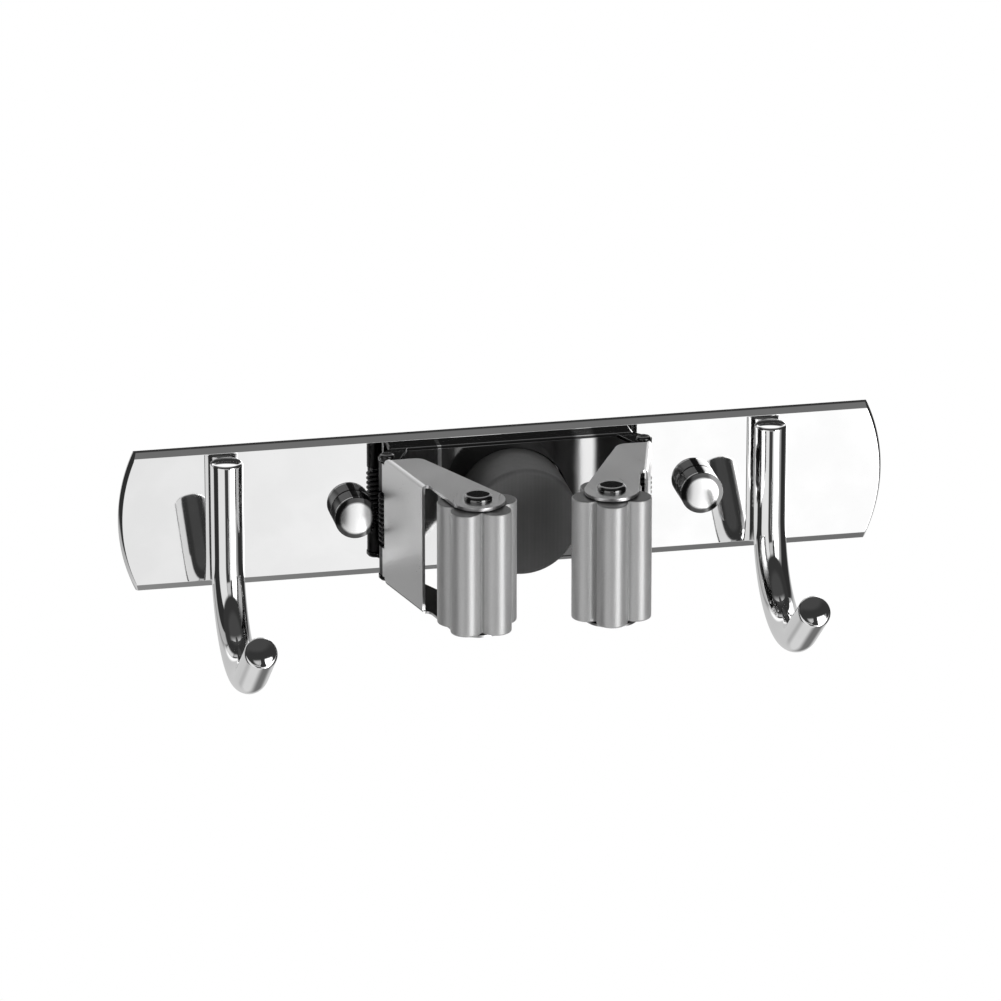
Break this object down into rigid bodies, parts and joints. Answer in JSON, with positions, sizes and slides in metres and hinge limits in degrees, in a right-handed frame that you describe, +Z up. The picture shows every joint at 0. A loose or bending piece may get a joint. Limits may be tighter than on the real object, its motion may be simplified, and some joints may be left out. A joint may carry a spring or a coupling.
{
  "type": "wall mop holder rack",
  "caption": "Polished wall rack for mops: bevelled back plate with J hooks and a spring clip whose sheet arms close lobed rubber rollers on a handle in front of a rubber buffer",
  "frame": {"origin": "middle of the back plate, on the wall plane it rests against", "axes": "+X to the right as seen from the room, along the plate; +Y into the wall; +Z up. The rack's front faces -Y"},
  "size_m": [0.25, 0.1048, 0.0688],
  "materials": {
    "plate_steel": "mirror-polished stainless steel sheet",
    "hook_chrome": "polished bright round bar",
    "clip_steel": "polished folded sheet steel",
    "arm_steel": "satin folded sheet steel with bright cut edges",
    "rivet_steel": "bright headed rivets and pins",
    "spring_steel": "bare spring wire",
    "carrier_steel": "plain turned steel",
    "roller_rubber": "smooth light grey moulded rubber",
    "bush_plastic": "natural white plastic tube",
    "buffer_rubber": "finely textured dark grey rubber",
    "cap_chrome": "bright plated cap",
    "seat_plastic": "black moulded ring",
    "screw_steel": "bare steel screw"
  },
  "bodies": {
    "rack": {"back_plate": "plate_steel", "hook_left": "hook_chrome", "hook_right": "hook_chrome", "clip_base": "clip_steel", "base_rivets": "rivet_steel", "pivot_pin_left": "rivet_steel", "pivot_pin_right": "rivet_steel", "arm_spring_left": "spring_steel", "arm_spring_right": "spring_steel", "buffer_spring": "spring_steel", "buffer_post": "carrier_steel", "screw_cap_left": "cap_chrome", "screw_cap_right": "cap_chrome", "cap_seat_left": "seat_plastic", "cap_seat_right": "seat_plastic", "wall_screw_left": "screw_steel", "wall_screw_right": "screw_steel"},
    "left_arm": {"arm_left": "arm_steel", "roller_axle_left": "rivet_steel"},
    "right_arm": {"arm_right": "arm_steel", "roller_axle_right": "rivet_steel"},
    "left_roller": {"roller_left": "roller_rubber", "roller_bush_left": "bush_plastic"},
    "right_roller": {"roller_right": "roller_rubber", "roller_bush_right": "bush_plastic"},
    "buffer": {"buffer_drum": "buffer_rubber", "buffer_carrier": "carrier_steel"}
  },
  "joints": [
    {"name": "left_arm_swing", "type": "hinge", "parent": "rack", "child": "left_arm", "pos_m": [-0.0402, -0.0131, 0], "axis": [0, 0, -1], "range_deg": [0, 12], "stiffness_Nm_per_rad": 1.5, "springref_deg": -20.05, "deforming": ["arm_spring_left"]},
    {"name": "left_roller_spin", "type": "hinge", "parent": "left_arm", "child": "left_roller", "pos_m": [-0.0198, -0.0591, 0], "axis": [0, 0, 1], "continuous": true},
    {"name": "right_arm_swing", "type": "hinge", "parent": "rack", "child": "right_arm", "pos_m": [0.0434, -0.0131, 0], "axis": [0, 0, 1], "range_deg": [0, 12], "stiffness_Nm_per_rad": 1.5, "springref_deg": -20.05, "deforming": ["arm_spring_right"]},
    {"name": "right_roller_spin", "type": "hinge", "parent": "right_arm", "child": "right_roller", "pos_m": [0.023, -0.0591, 0], "axis": [0, 0, 1], "continuous": true},
    {"name": "buffer_slide", "type": "slide", "parent": "rack", "child": "buffer", "axis": [0, 1, 0], "range_m": [0, 0.0035], "stiffness_N_per_m": 2000, "springref_m": -0.002, "deforming": ["buffer_spring"]}
  ]
}
